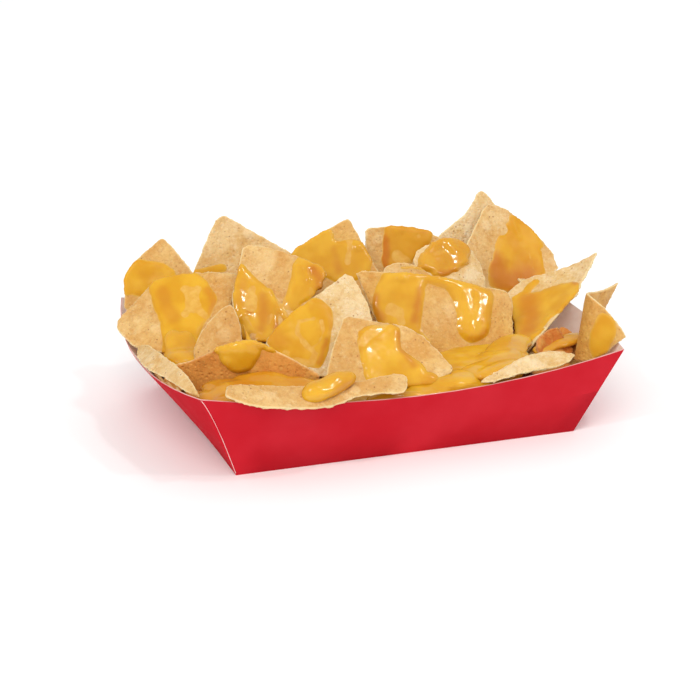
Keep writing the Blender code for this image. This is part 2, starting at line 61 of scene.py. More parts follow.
# ---------------------------------------------------------------- shader helpers
class Shader:
    """A material's node tree with short calls for the nodes used here."""

    def __init__(self, name):
        self.mat = bpy.data.materials.new(name)
        self.mat.use_nodes = True
        self.tree = self.mat.node_tree
        self.bsdf = self.tree.nodes["Principled BSDF"]

    def node(self, kind, settings=None, **inputs):
        made = self.tree.nodes.new("ShaderNode" + kind)
        for key, value in (settings or {}).items():
            setattr(made, key, value)
        for key, value in inputs.items():
            self.put(made.inputs[int(key[2:]) if key.startswith("i_") else key.replace("_", " ")], value)
        return made

    def put(self, socket, value):
        if isinstance(value, bpy.types.NodeSocket):
            self.tree.links.new(value, socket)
        else:
            socket.default_value = value

    def places(self):
        return self.node("TexCoord").outputs["Object"]

    def noise(self, scale, detail=2.0, rough=0.5, vector=None):
        made = self.node("TexNoise", Vector=vector or self.places(), Scale=scale, Detail=detail,
                         Roughness=rough)
        return made.outputs["Fac"]

    def cells(self, scale, vector=None):
        made = self.node("TexVoronoi", Vector=vector or self.places(), Scale=scale)
        return made.outputs["Distance"]

    def attribute(self, name):
        return self.node("Attribute", {"attribute_name": name}).outputs["Fac"]

    def math(self, operation, a, b=0.0, clamp=False):
        made = self.node("Math", {"operation": operation, "use_clamp": clamp}, i_0=a, i_1=b)
        return made.outputs[0]

    def span(self, value, low, high, to_low=0.0, to_high=1.0):
        made = self.node("MapRange", {"clamp": True, "interpolation_type": "SMOOTHSTEP"}, Value=value)
        for key, number in (("From Min", low), ("From Max", high), ("To Min", to_low), ("To Max", to_high)):
            made.inputs[key].default_value = number
        return made.outputs["Result"]

    def mix(self, share, a, b):
        made = self.node("Mix", {"data_type": "RGBA"}, i_0=share)
        for key, colour in ((6, a), (7, b)):
            self.put(made.inputs[key], colour if isinstance(colour, bpy.types.NodeSocket) else (*colour, 1.0))
        return made.outputs[2]

    def bump(self, height, distance, strength=1.0, normal=None):
        made = self.node("Bump", Height=height, Strength=strength, Distance=distance)
        if normal is not None:
            self.put(made.inputs["Normal"], normal)
        return made.outputs["Normal"]

    def surface(self, **inputs):
        for key, value in inputs.items():
            self.put(self.bsdf.inputs[key.replace("_", " ")], value)
        return self.mat


def srgb(code):
    """A colour from its six hex digits, as linear values."""
    parts = [int(code[i:i + 2], 16) / 255 for i in (0, 2, 4)]
    return tuple(c / 12.92 if c <= 0.04045 else ((c + 0.055) / 1.055) ** 2.4 for c in parts)


# ---------------------------------------------------------------- materials
def chip_material():
    """Fried corn tortilla: cream to tan, paler rims (partly painted highlight), toasted blisters, small brown
    specks.
    """
    s = Shader("fried_tortilla")
    tone = s.attribute("tone")
    patches = s.span(s.noise(70, 5, 0.65), 0.36, 0.66)
    body = s.mix(tone, srgb("E3CB9F"), srgb("D29F43"))
    toast = s.mix(tone, srgb("D6B475"), srgb("C58636"))
    colour = s.mix(patches, body, toast)
    colour = s.mix(s.span(tone, 0.95, 1.25), colour, srgb("DD9A4A"))
    # Tones from about 1.3 up mix in deep red-brown: painted shade for chips that lie in shadow under other
    # pieces.
    colour = s.mix(s.span(tone, 1.3, 1.8), colour, srgb("BE6A28"))
    mottle = s.span(s.noise(420, 5, 0.7), 0.44, 0.70)
    colour = s.mix(s.math("MULTIPLY", mottle, 0.46), colour, s.mix(tone, srgb("C79757"), srgb("AE6D2C")))
    lighter = s.mix(tone, srgb("EFE4C8"), srgb("E3B761"))
    pale = s.math("MULTIPLY", s.span(s.noise(260, 5, 0.7), 0.50, 0.72), 0.45)
    colour = s.mix(pale, colour, lighter)
    blister = s.span(s.attribute("blister"), 0.1, 0.8)
    colour = s.mix(s.math("MULTIPLY", blister, 0.35), colour, lighter)
    browned = s.span(s.noise(52, 4, 0.7), 0.57, 0.68, 0.0, 0.42)
    browned = s.math("MULTIPLY", browned, s.span(s.noise(310, 4, 0.7), 0.42, 0.60))
    colour = s.mix(browned, colour, srgb("B27A38"))
    specks = s.math("MULTIPLY", s.span(s.cells(360), 0.18, 0.09), s.span(s.noise(95, 2), 0.47, 0.55))
    colour = s.mix(s.math("MULTIPLY", specks, 0.70), colour, srgb("8E4E24"))
    freckles = s.math("MULTIPLY", s.span(s.cells(900), 0.22, 0.10), s.span(s.noise(160, 2), 0.46, 0.56))
    colour = s.mix(s.math("MULTIPLY", freckles, 0.42), colour, srgb("A9682F"))
    grain = s.noise(850, 4, 0.7)
    colour = s.mix(s.span(grain, 0.52, 0.72, 0.0, 0.30), colour, lighter)
    colour = s.mix(s.span(grain, 0.48, 0.30, 0.0, 0.20), colour, srgb("B5742F"))
    # The pale rim colour is partly painted highlight, where the cut edge catches the light; it is weaker on
    # the dark, shaded tones.
    rim = s.math("MULTIPLY", s.span(s.attribute("rim"), 0.3, 0.9), s.span(tone, 1.0, 1.6, 0.75, 0.25))
    colour = s.mix(rim, colour, srgb("EAD5A2"))
    pits = s.span(s.cells(480), 0.05, 0.45)
    height = s.math("ADD", s.math("MULTIPLY", grain, 0.7), s.math("MULTIPLY", pits, 0.5))
    rough = s.span(s.noise(150, 2), 0.3, 0.7, 0.50, 0.68)
    return s.surface(Base_Color=colour, Roughness=rough, Specular_IOR_Level=0.25,
                     Subsurface_Weight=0.15, Subsurface_Radius=(1.0, 0.55, 0.25), Subsurface_Scale=0.0014,
                     Normal=s.bump(height, 0.00050, 1.0))


def cheese_material(name, rough, coat, relief):
    """Melted cheese: deep where it is thick, letting the chip show where it is thin, with painted shade in a
    deeper orange.
    """
    s = Shader(name)
    film = s.attribute("film")
    drift = s.noise(85, 2, 0.5)
    deep = s.mix(s.span(drift, 0.35, 0.65), srgb("CF951B"), srgb("D9A52A"))
    # The dark attribute paints shade into the colour: a deeper orange in creases, under overhangs and along
    # film edges.
    deep = s.mix(s.attribute("dark"), deep, srgb("BE721C"))
    thin = s.mix(s.span(s.noise(330, 4, 0.65), 0.35, 0.65), srgb("DAAC52"), srgb("D39E40"))
    share = s.span(s.math("ADD", film, s.math("MULTIPLY", s.math("SUBTRACT", drift, 0.5), 0.2)), 0.12, 0.55)
    colour = s.mix(share, thin, deep)
    ripple = s.noise(110, 2, 0.45)
    fine = s.noise(420, 2, 0.5)
    height = s.math("ADD", ripple, s.math("MULTIPLY", fine, 0.04))
    gloss = s.span(s.noise(190, 3), 0.3, 0.7, rough, rough + 0.08)
    return s.surface(Base_Color=colour, Roughness=gloss, IOR=1.45, Specular_IOR_Level=0.28,
                     Subsurface_Weight=0.28, Subsurface_Radius=(1.0, 0.56, 0.12), Subsurface_Scale=0.002,
                     Coat_Weight=coat, Coat_Roughness=0.08, Normal=s.bump(height, 0.0007, relief))


def heap_material():
    """What shows between the pieces: chips softened and stained by sauce, their deep red-brown partly painted
    shade.
    """
    s = Shader("soaked_heap_painted_shade")
    patches = s.span(s.noise(120, 3, 0.5), 0.4, 0.6)
    colour = s.mix(patches, srgb("B4642A"), srgb("D09838"))
    colour = s.mix(s.span(s.noise(260, 3), 0.45, 0.7), colour, srgb("9A4420"))
    return s.surface(Base_Color=colour, Roughness=0.42, Subsurface_Weight=0.15,
                     Subsurface_Radius=(1.0, 0.5, 0.2), Subsurface_Scale=0.002,
                     Normal=s.bump(s.noise(300, 4), 0.0006, 0.7))


def red_material():
    """The outside of the board: red print under a thin varnish, a little uneven."""
    s = Shader("red_print")
    print_drift = s.span(s.noise(28, 3, 0.55), 0.3, 0.7)
    colour = s.mix(print_drift, srgb("BF1F2B"), srgb("C62935"))
    fibre = s.node("TexNoise", Vector=s.places(), Scale=700.0, Detail=3.0, Roughness=0.7).outputs["Fac"]
    colour = s.mix(s.math("MULTIPLY", s.span(fibre, 0.62, 0.8), 0.12), colour, srgb("CC3F47"))
    rough = s.span(s.noise(60, 2), 0.3, 0.7, 0.50, 0.62)
    height = s.math("ADD", s.math("MULTIPLY", s.noise(55, 1), 1.0), s.math("MULTIPLY", fibre, 0.06))
    return s.surface(Base_Color=colour, Roughness=rough, Specular_IOR_Level=0.005,
                     Normal=s.bump(height, 0.0008, 0.25))


def board_material(name, low, high):
    """Uncoated board: fine fibres, slightly blotchy."""
    s = Shader(name)
    colour = s.mix(s.span(s.noise(110, 4, 0.6), 0.35, 0.65), srgb(low), srgb(high))
    fibre = s.noise(1500, 3, 0.7)
    return s.surface(Base_Color=colour, Roughness=0.8, Specular_IOR_Level=0.25,
                     Normal=s.bump(fibre, 0.00012, 0.6))


def floor_material():
    s = Shader("pale_floor")
    colour = s.mix(s.span(s.noise(3, 2), 0.3, 0.7), (0.94, 0.94, 0.94), (0.96, 0.96, 0.96))
    return s.surface(Base_Color=colour, Roughness=0.7, Specular_IOR_Level=0.2)


# ---------------------------------------------------------------- mesh helpers
def joined(node):
    """A CAD node's mesh as a bmesh in millimetres, its doubled corners joined."""
    bm = bmesh.new()
    bm.from_mesh(frame["nodes"][node].data)
    bmesh.ops.remove_doubles(bm, verts=bm.verts, dist=1e-6)
    bmesh.ops.scale(bm, vec=(1 / MM,) * 3, verts=bm.verts)
    bm.normal_update()
    return bm


def tree_of(nodes):
    """One search tree over several CAD nodes, in millimetres."""
    verts, faces = [], []
    for node in nodes:
        mesh = frame["nodes"][node].data
        first = len(verts)
        verts += [v.co / MM for v in mesh.vertices]
        faces += [tuple(first + i for i in p.vertices) for p in mesh.polygons]
    return BVHTree.FromPolygons(verts, faces)


def new_piece(name, verts, faces, mat, smooth=True):
    """A mesh object from points in millimetres."""
    mesh = bpy.data.meshes.new(name)
    mesh.from_pydata((np.asarray(verts, float) * MM).tolist(), [], faces)
    mesh.update()
    mesh.materials.append(mat)
    if smooth:
        mesh.shade_smooth()
    obj = bpy.data.objects.new(name, mesh)
    bpy.context.scene.collection.objects.link(obj)
    return obj


def remeshed(bm, voxel, rounds):
    """Points, faces and normals of a bmesh as an even skin of small quads, smoothed a little."""
    bmesh.ops.scale(bm, vec=(MM,) * 3, verts=bm.verts)
    mesh = bpy.data.meshes.new("remesh")
    bm.to_mesh(mesh)
    bm.free()
    obj = bpy.data.objects.new("remesh", mesh)
    bpy.context.scene.collection.objects.link(obj)
    voxels = obj.modifiers.new("voxels", "REMESH")
    voxels.mode = "VOXEL"
    voxels.voxel_size = voxel * MM
    if rounds:
        soft = obj.modifiers.new("soft", "SMOOTH")
        soft.factor = 0.5
        soft.iterations = rounds
    done = obj.evaluated_get(bpy.context.evaluated_depsgraph_get()).to_mesh()
    verts = np.array([v.co for v in done.vertices]) / MM
    faces = [tuple(p.vertices) for p in done.polygons]
    normals = np.array([n.vector for n in done.vertex_normals])
    obj.to_mesh_clear()
    bpy.data.objects.remove(obj)
    bpy.data.meshes.remove(mesh)
    return verts, faces, normals


def normals_of(verts, faces):
    """Vertex normals of a quad or triangle mesh."""
    quads = np.array([f if len(f) == 4 else (*f, f[0]) for f in faces])
    p = verts[quads]
    face_normal = np.cross(p[:, 2] - p[:, 0], p[:, 3] - p[:, 1])
    total = np.zeros_like(verts)
    for k in range(4):
        np.add.at(total, quads[:, k], face_normal)
    return total / np.maximum(np.linalg.norm(total, axis=1, keepdims=True), 1e-9)


def relaxed(values, faces, rounds, count):
    """Average a value or a point with its neighbours over a mesh, some rounds."""
    edges = set()
    for f in faces:
        for k, a in enumerate(f):
            b = f[(k + 1) % len(f)]
            edges.add((a, b) if a < b else (b, a))
    pairs = np.array(sorted(edges))
    near = np.zeros(count)
    np.add.at(near, pairs.ravel(), 1)
    values = np.asarray(values, float)
    wide = near if values.ndim == 1 else near[:, None]
    for _ in range(rounds):
        total = np.zeros_like(values)
        np.add.at(total, pairs[:, 0], values[pairs[:, 1]])
        np.add.at(total, pairs[:, 1], values[pairs[:, 0]])
        values = 0.5 * values + 0.5 * total / np.maximum(wide, 1)
    return values


def noise_at(points, size, seed):
    """Smooth noise from about -1 to 1 at each point; size is its grain in millimetres."""
    shift = Vector((seed * 17.3, seed * 5.1, seed * 9.7))
    return np.array([noise.noise(Vector(p) / size + shift) for p in points.tolist()])


def put_attribute(obj, name, values):
    layer = obj.data.attributes.new(name, "FLOAT", "POINT")
    layer.data.foreach_set("value", np.asarray(values, np.float32))


def finished(obj, slot, *nodes):
    """Hang a piece on the part's one body and hide the CAD nodes that it stands for."""
    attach(obj, "root")
    if nodes:
        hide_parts(*nodes)
    return obj


def smoothstep(x):
    x = np.clip(x, 0, 1)
    return x * x * (3 - 2 * x)


# ---------------------------------------------------------------- chips
TONES = {  # 0 is cream, 1 golden tan, more is toasted; the highest tones turn deep red-brown as painted shade
    "chip_back_left_low": 0.65, "chip_back_left_tall": 0.35, "chip_back_middle": 0.75,
    "chip_back_round": 0.60, "chip_back_right_tip": 0.10, "chip_back_right": 0.45,
    "chip_left_wide": 0.70, "chip_centre_left": 0.60, "chip_under_blob": 0.15,
    "chip_behind_flat": 0.70, "chip_left_small": 0.68, "chip_centre_bright": 0.0,
    "chip_right_large": 0.78, "chip_right_trough": 0.25, "chip_right_folded": 0.85,
    # chip_right_shaded's tone of 1.90 is painted shade, as it lies in the shadow of the chip above;
    # chip_front_tent's darker tone is partly painted shade on its overhanging face.
    "chip_right_shaded": 1.90, "chip_front_tent": 1.24, "chip_front_centre": 0.62,
    "chip_rim_left": 0.28, "chip_rim_front": 0.56, "chip_rim_right": 0.25, "chip_right_end": 0.40,
    "chip_rear_left": 0.65, "chip_rear_middle": 0.25, "chip_rear_right": 0.80, "chip_rear_corner": 0.50,
}
SLOTS = {part["node"]: part["material_slot"] for part in frame["record"]["subparts"]}


def rim_tree(bm):
    """Search tree over a chip's cut edge: faces as tall as the chip is thick, and deep behind."""
    solid = BVHTree.FromBMesh(bm)
    faces = []
    for face in bm.faces:
        if any(abs(e.calc_length() - CHIP_THICK) < 0.03 for e in face.edges):
            inward = face.calc_center_median() - face.normal * 0.02
            through = solid.ray_cast(inward, -face.normal)[3]
            if through is None or through > 1.5 * CHIP_THICK:
                faces.append([v.index for v in face.verts])
    return BVHTree.FromPolygons([v.co for v in bm.verts], faces)


def fine_chip(node, seed):
    """The chip's points, faces, rim and blister shares: slim, wavy, nibbled at the rim."""
    rng = random.Random(seed)
    bm = joined(node)
    bm.verts.index_update()
    rim = rim_tree(bm)
    verts, faces, normals = remeshed(bm, CHIP_VOXEL, 4)
    to_rim = np.array([rim.find_nearest(Vector(p))[3] for p in verts.tolist()])
    inside = smoothstep(to_rim / 1.6)
    axis = np.linalg.svd(verts - verts.mean(0), full_matrices=False)[2][2]
    nibble = 0.40 * noise_at(verts, 3.2, seed) + 0.22 * noise_at(verts, 1.3, seed + 1)
    grain = 0.10 * noise_at(verts, 4.5, seed + 2) + 0.05 * noise_at(verts, 1.7, seed + 3)
    ragged = 0.40 * noise_at(verts, 4.0, seed + 5)
    blister = np.zeros(len(verts))
    lift = np.zeros(len(verts))
    for _ in range(rng.randint(5, 9)):
        k = rng.randrange(len(verts))
        radius = rng.uniform(2.2, 5.5)
        far = np.linalg.norm(verts - verts[k], axis=1) * (1 + ragged)
        near = 1 - (far / radius) ** 2
        bulge = np.where((near > 0) & (normals @ normals[k] > 0), near, 0) ** 1.5
        blister = np.maximum(blister, bulge * inside)
        lift = np.maximum(lift, bulge * inside * rng.uniform(0.35, 0.75))
    wave = 0.55 * noise_at(verts, 16.0, seed + 4)
    out = -SLIM + lift + grain * inside + nibble * (1 - inside)
    moved = verts + normals * out[:, None] + axis[None, :] * wave[:, None]
    return {"verts": moved, "faces": faces, "rim": np.exp(-to_rim / 0.9), "blister": blister,
            "normals": normals_of(moved, faces)}


def build_chip(node, chip, mat, seed):
    obj = new_piece(node.replace("chip_", "tortilla_"), chip["verts"], chip["faces"], mat)
    drift = 0.22 if TONES[node] < 1.2 else 0.45
    put_attribute(obj, "tone", TONES[node] + drift * noise_at(chip["verts"], 22.0, seed))
    put_attribute(obj, "rim", chip["rim"])
    put_attribute(obj, "blister", chip["blister"])
    return finished(obj, SLOTS[node], node)


# ---------------------------------------------------------------- sauce on chips
class Film:
    """Sauce on one chip. Each source is a depth and how far inside its outline a point lies."""

    def __init__(self, chip, seed):
        self.chip = chip
        self.verts = chip["verts"]
        self.normals = chip["normals"]
        self.seed = seed
        self.height = np.full(len(self.verts), -SINK)
        self.clear = np.zeros(len(self.verts))
        # dark: painted shade, mixed in as a deeper orange.
        self.dark = np.zeros(len(self.verts))
        self.ragged = 0.60 * noise_at(self.verts, 6.0, seed) + 0.30 * noise_at(self.verts, 2.4, seed + 1)

    def add(self, inside, depth, width, steep):
        """Raise the sauce where `inside` is positive, to `depth`, rounded over `width`."""
        x = (inside + self.ragged) / width
        dome = np.clip(1 - (1 - np.clip(x, 0, 1)) ** 2, 0, 1) ** (0.5 if steep else 1.0)
        height = np.where(x > 0, depth * dome, np.maximum(x * width * 1.2, -SINK))
        self.height = np.maximum(self.height, height)

    def coat(self, node, depth, width=3.2, reach=0.4, steep=False):
        """Sauce over the outline of a CAD coat, carried `reach` past it."""
        bm = joined(node)
        solid = BVHTree.FromBMesh(bm)
        ring = foot_ring(bm, self.chip["cad"])
        bm.free()
        far = distance_to(self.verts, ring)
        sign = np.full(len(far), -1.0)
        for i in np.nonzero(far < 40)[0]:
            p, n = Vector(self.verts[i]), Vector(self.normals[i])
            hit = solid.ray_cast(p - n * 0.3, n, 2.6)
            if hit[0] is not None:
                sign[i] = 1.0
        self.add(far * sign + reach, depth, width, steep)

    def run(self, points, radius, depth, width=2.4, steep=False):
        """Sauce along a line of points, such as a drip or the edge of a chip."""
        self.add(radius - distance_to(self.verts, segments(points)), depth, width, steep)

    def near(self, points, radius, blur):
        """Share, 1 inside `radius` of a line of points, falling to 0 over `blur`."""
        far = distance_to(self.verts, segments(points)) + 1.3 * self.ragged
        return smoothstep((radius - far) / blur + 0.5)

    def thin(self, points, radius, share=0.85):
        """Thin the sauce along a line, so that the chip shows through; some of these pale patches also stand
        in as painted soft reflections.
        """
        self.clear = np.maximum(self.clear, share * self.near(points, radius, 1.8))

    def thick(self, points, radius):
        """Keep the sauce whole inside a thinned place."""
        self.clear *= 1 - self.near(points, radius, 1.5)

    def shade(self, points, radius, share=0.8, blur=3.5):
        """A deeper orange along a line: painted shade in a crease or on a shaded face, partly the deeper
        colour of sauce gathered there.
        """
        self.dark = np.maximum(self.dark, share * self.near(points, radius, blur))

    def dry(self, points, radius, width=2.0):
        """Take the sauce off along a line, with the same rounded edge as elsewhere."""
        x = (distance_to(self.verts, segments(points)) - radius + self.ragged) / width
        dome = np.sqrt(np.clip(1 - (1 - np.clip(x, 0, 1)) ** 2, 0, 1))
        self.height = np.minimum(self.height, np.where(x > 0, 1.6 * dome, np.maximum(x * width * 1.2, -SINK)))

    def piece(self, name, mat, *nodes, lumps=0.2, rounds=3):
        faces = self.chip["faces"]
        count = len(self.verts)
        height = relaxed(self.height, faces, rounds, count)
        wet = smoothstep(height / 0.8)
        height = height + wet * (lumps * noise_at(self.verts, 6.5, self.seed + 2) - 0.25 * self.clear)
        flow = relaxed(self.normals, faces, 4, count)
        flow /= np.maximum(np.linalg.norm(flow, axis=1, keepdims=True), 1e-6)
        normals = self.normals * (1 - wet[:, None]) + flow * wet[:, None]
        points = self.verts + normals * height[:, None]
        kept = [f for f in faces if max(height[i] for i in f) > -0.3]
        used = sorted({i for f in kept for i in f})
        place = {old: new for new, old in enumerate(used)}
        kept = [tuple(place[i] for i in f) for f in kept]
        points, height, clear = points[used], height[used], self.clear[used]
        # A little painted shade in a band along the film's edge, where it meets the chip.
        border = smoothstep((height + 0.1) / 0.3) * smoothstep((0.75 - height) / 0.45)
        soft = relaxed(points, kept, 2, len(points))
        points = np.where(height[:, None] > 0.25, soft, points)
        obj = new_piece(name, points, kept, mat)
        put_attribute(obj, "film", np.clip(height / 0.8 + 0.2, 0, 1) * (1 - clear))
        put_attribute(obj, "dark", np.maximum(self.dark[used], 0.18 * border))
        return finished(obj, "cheese_sauce", *nodes)


def foot_ring(coat, chip_tree):
    """The edge, as segments, of the side that a coat turns to its chip."""
    low = set()
    for face in coat.faces:
        if chip_tree.find_nearest(face.calc_center_median())[3] < GAP + 0.12:
            low.add(face.index)
    ring = []
    for edge in coat.edges:
        if len(edge.link_faces) == 2 and len({f.index for f in edge.link_faces} & low) == 1:
            ring.append((edge.verts[0].co.copy(), edge.verts[1].co.copy()))
    return ring


def segments(points):
    """The segments of a line of points; a single point makes one of no length."""
    return list(zip(points, points[1:])) or [(points[0], points[0])]


def distance_to(points, lines):
    """Distance of each point to the nearest of some segments."""
    best = np.full(len(points), 1e9)
    for a, b in lines:
        a, d = np.array(a), np.array(b) - np.array(a)
        t = np.clip((points - a) @ d / max(d @ d, 1e-9), 0, 1)
        best = np.minimum(best, np.linalg.norm(points - a - t[:, None] * d, axis=1))
    return best


def build_films(chips, gloss, satin):
    """The sauce on each chip: its CAD coat, and the runs and thin places that go with it."""
    f = Film(chips["chip_back_left_low"], 11)
    f.coat("sauce_back_left_low", 0.6, width=4.0, reach=1.8)
    f.run([(-90, 58, 58), (-95, 57, 53), (-95, 55, 49)], 3.2, 0.6, width=3.0)
    f.run([(-88, 58, 60), (-82, 54, 58), (-77, 51, 56.5)], 1.6, 0.5)
    f.shade([(-88, 55, 55), (-80, 51, 54)], 2.0, 0.25)
    f.piece("cheese_back_left_low", satin, "sauce_back_left_low")

    f = Film(chips["chip_back_left_tall"], 12)
    f.run([(-67, 49, 54.5), (-60, 48, 56), (-52, 47, 57)], 2.4, 0.35, width=3.6)
    f.piece("cheese_back_left_tall", satin)

    f = Film(chips["chip_back_middle"], 13)
    f.coat("sauce_back_middle", 0.8, reach=1.6)
    f.run([(-14, 38, 70), (-7, 37.4, 72)], 2.0, 0.7)
    f.dry([(1, 36, 75), (-1, 34, 71)], 2.4)
    f.thin([(4, 31.5, 68), (1.5, 27.6, 60)], 1.7)
    f.thin([(-13, 33, 65), (-17, 32, 62)], 2.0, share=0.5)
    f.shade([(-4, 31, 66), (-3, 27, 57)], 1.6, 0.6)
    f.piece("cheese_back_middle", gloss, "sauce_back_middle")

    f = Film(chips["chip_back_round"], 14)
    f.coat("sauce_back_round", 0.8, reach=1.2)
    f.run([(29, 43.5, 69.5), (38, 44, 70.5), (47, 42, 66.5)], 2.2, 0.8)
    f.thin([(30, 38, 57), (33, 37, 54)], 3.2, share=0.9)
    f.thin([(33, 43, 68)], 2.4, share=0.4)
    # Painted highlight: a small pale patch near the top right of the film.
    f.thin([(41, 41.5, 64.5)], 1.3, share=0.7)
    f.dark[:] = 0.35
    f.shade([(24, 41, 64.5), (22.5, 38, 58), (21.5, 36, 54)], 3.0, 1.0)
    f.thick([(24, 41, 64.5), (22.5, 38, 58)], 2.0)
    f.piece("cheese_back_round", satin, "sauce_back_round")

    f = Film(chips["chip_back_right"], 15)
    f.ragged *= 2.2
    f.coat("sauce_back_right", 0.55, width=5.0, reach=1.6)
    f.run([(92.5, 49, 66), (98, 47, 62.5), (102, 44, 57.5)], 2.6, 0.6, width=3.5)
    f.run([(100, 43, 56), (101, 40, 51), (102, 36, 45)], 2.4, 0.5, width=3.5)
    f.run([(92.5, 48, 65), (92.5, 46, 61), (93.5, 44, 57)], 1.3, 1.1, width=1.6)
    f.dry([(84, 47, 64), (85.5, 46, 62)], 3.4)
    f.dry([(105, 40, 52), (105, 36, 45)], 1.6)
    f.dark[:] = 0.22
    f.shade([(88, 42, 57), (95, 40, 52)], 4.0, 0.45, blur=10.0)
    f.shade([(79, 37, 48), (80, 33.5, 42), (86, 33, 40), (95, 35, 42)], 6.0, 0.95, blur=9.0)
    f.shade([(97, 37, 47), (100, 35, 44)], 4.0, 0.6, blur=7.0)
    f.thin([(96.5, 41, 53), (97.5, 36.5, 44.5)], 0.8, share=0.7)
    f.thin([(93.5, 48, 64.5), (92.5, 45, 59.5)], 0.7, share=0.5)
    f.piece("cheese_back_right", satin, "sauce_back_right")

    f = Film(chips["chip_left_wide"], 16)
    f.coat("sauce_left_wide", 0.85, width=3.6, reach=1.2)
    f.run([(-88, 14, 44), (-89, 7.5, 39.5), (-91, 1, 35)], 2.6, 0.8)
    f.run([(-84, 8, 42), (-86, 3, 37), (-86, -2, 33)], 3.6, 1.1)
    f.run([(-79, 6, 42), (-78, 1, 38)], 3.2, 0.9)
    f.thin([(-73.5, 23.5, 54.5), (-74.5, 16.5, 50)], 3.6, share=0.86)
    f.thin([(-75.5, 26, 56), (-75, 23, 54)], 2.3, share=0.86)
    f.thin([(-70.5, 24, 55.5), (-72.5, 22, 53.5)], 2.2, share=0.86)
    f.thin([(-71, 11.5, 47.5), (-73.5, 15.5, 50)], 2.1, share=0.86)
    f.thin([(-78.5, 15, 47.5), (-76, 17, 50)], 2.0, share=0.86)
    f.thin([(-83, 5.5, 40.5), (-82.5, 1, 37)], 2.2)
    f.thin([(-79.5, 3.5, 40)], 1.8, share=0.7)
    f.shade([(-85, 30, 54), (-85, 22, 50), (-84, 15, 46)], 3.0, 0.45)
    f.shade([(-66, 21, 56), (-65, 14.5, 51.5), (-68, 10, 48)], 2.2, 0.55)
    f.piece("cheese_left_wide", satin, "sauce_left_wide")

    f = Film(chips["chip_centre_left"], 17)
    f.coat("sauce_centre_left", 0.9, reach=1.0)
    f.run([(-54, 4, 50), (-56, -1, 43), (-57, -6, 37)], 2.2, 1.2)
    f.run([(-44, 3, 51), (-45, -2, 45), (-48, -5, 41)], 4.4, 0.6)
    f.run([(-42, 8, 56.5), (-39.5, 3.5, 51.5), (-37, -2, 47), (-38, -5, 43)], 1.7, 1.2)
    f.coat("sauce_centre_top", 1.2, reach=1.4)
    f.run([(-27, 8, 58), (-33, 3, 52)], 4.5, 0.8)
    f.run([(-25, 13, 66), (-23.5, 10.5, 64), (-24, 7, 60)], 1.7, 2.1, steep=True)
    f.run([(-28, 13, 66), (-19, 10, 64.5)], 1.4, 1.9, steep=True)
    f.run([(-19.5, 8, 61.5), (-20, 5, 58)], 1.6, 1.8, steep=True)
    f.thin([(-49, 10.5, 57.5), (-50, 8, 54.5)], 2.3)
    f.thin([(-50, 8, 55), (-51.5, 5.5, 51.5)], 3.1)
    f.thin([(-37.5, 6.0, 55), (-37.5, 2.5, 51.5), (-36.0, -0.5, 48.5)], 2.2)
    f.thin([(-54.5, 2.5, 47.5), (-52.5, -1, 44), (-49, -4, 41.5), (-45, -2, 44.5), (-43, 1, 48)], 0.8)
    f.thin([(-24, 3.5, 57), (-24.5, 1, 54.5)], 1.5, share=0.6)
    f.shade([(-52.5, 4, 49.5)], 1.2, 1.0)
    f.shade([(-45.5, 8, 55), (-45.5, 4, 51), (-47.5, 0, 46), (-49, -2, 43.5)], 2.2, 0.6, blur=4.5)
    f.shade([(-52, 13, 61), (-55, 8, 54)], 2.0, 0.35)
    f.shade([(-41, -4, 44), (-38, -4, 44)], 3.0, 0.8)
    f.shade([(-21, 10, 63.5), (-19, 7, 60), (-20, 4, 57)], 2.0, 0.9)
    f.piece("cheese_centre_left", gloss, "sauce_centre_left", "sauce_centre_top", lumps=0.3)

    f = Film(chips["chip_under_blob"], 18)
    f.ragged *= 1.5
    f.coat("sauce_blob", 3.6, width=4.6, reach=0.9, steep=True)
    f.run([(34, 16, 57), (37, 20, 61), (43, 24, 65)], 2.6, 2.0, steep=True)
    f.run([(50, 17, 56), (56, 20, 58)], 2.6, 1.6, steep=True)
    f.run([(46, 26, 65), (54, 27, 65)], 2.4, 1.8, steep=True)
    f.run([(38.5, 20, 60.5), (43, 23, 63.5)], 2.6, 5.6, width=2.8, steep=True)
    f.run([(45, 17, 57.5), (48, 20, 60.0)], 2.4, 5.5, width=2.8, steep=True)
    f.run([(53, 19.5, 58.5), (55.5, 24, 62)], 2.2, 5.3, width=2.6, steep=True)
    f.run([(49, 25, 64)], 2.4, 5.4, width=2.8, steep=True)
    f.dry([(36.5, 15, 54), (33, 15, 55)], 1.6)
    f.thin([(40, 21, 61), (46, 23, 62)], 1.3, share=0.6)
    f.dark[:] = 0.25
    f.shade([(42, 14, 54), (50, 15, 54)], 2.0, 0.8)
    f.piece("cheese_blob", gloss, "sauce_blob", lumps=0.9)

    f = Film(chips["chip_behind_flat"], 19)
    f.run([(36, 9, 59), (29, 10.5, 60), (22, 12, 60)], 1.2, 0.6)
    f.piece("cheese_behind_flat", gloss)

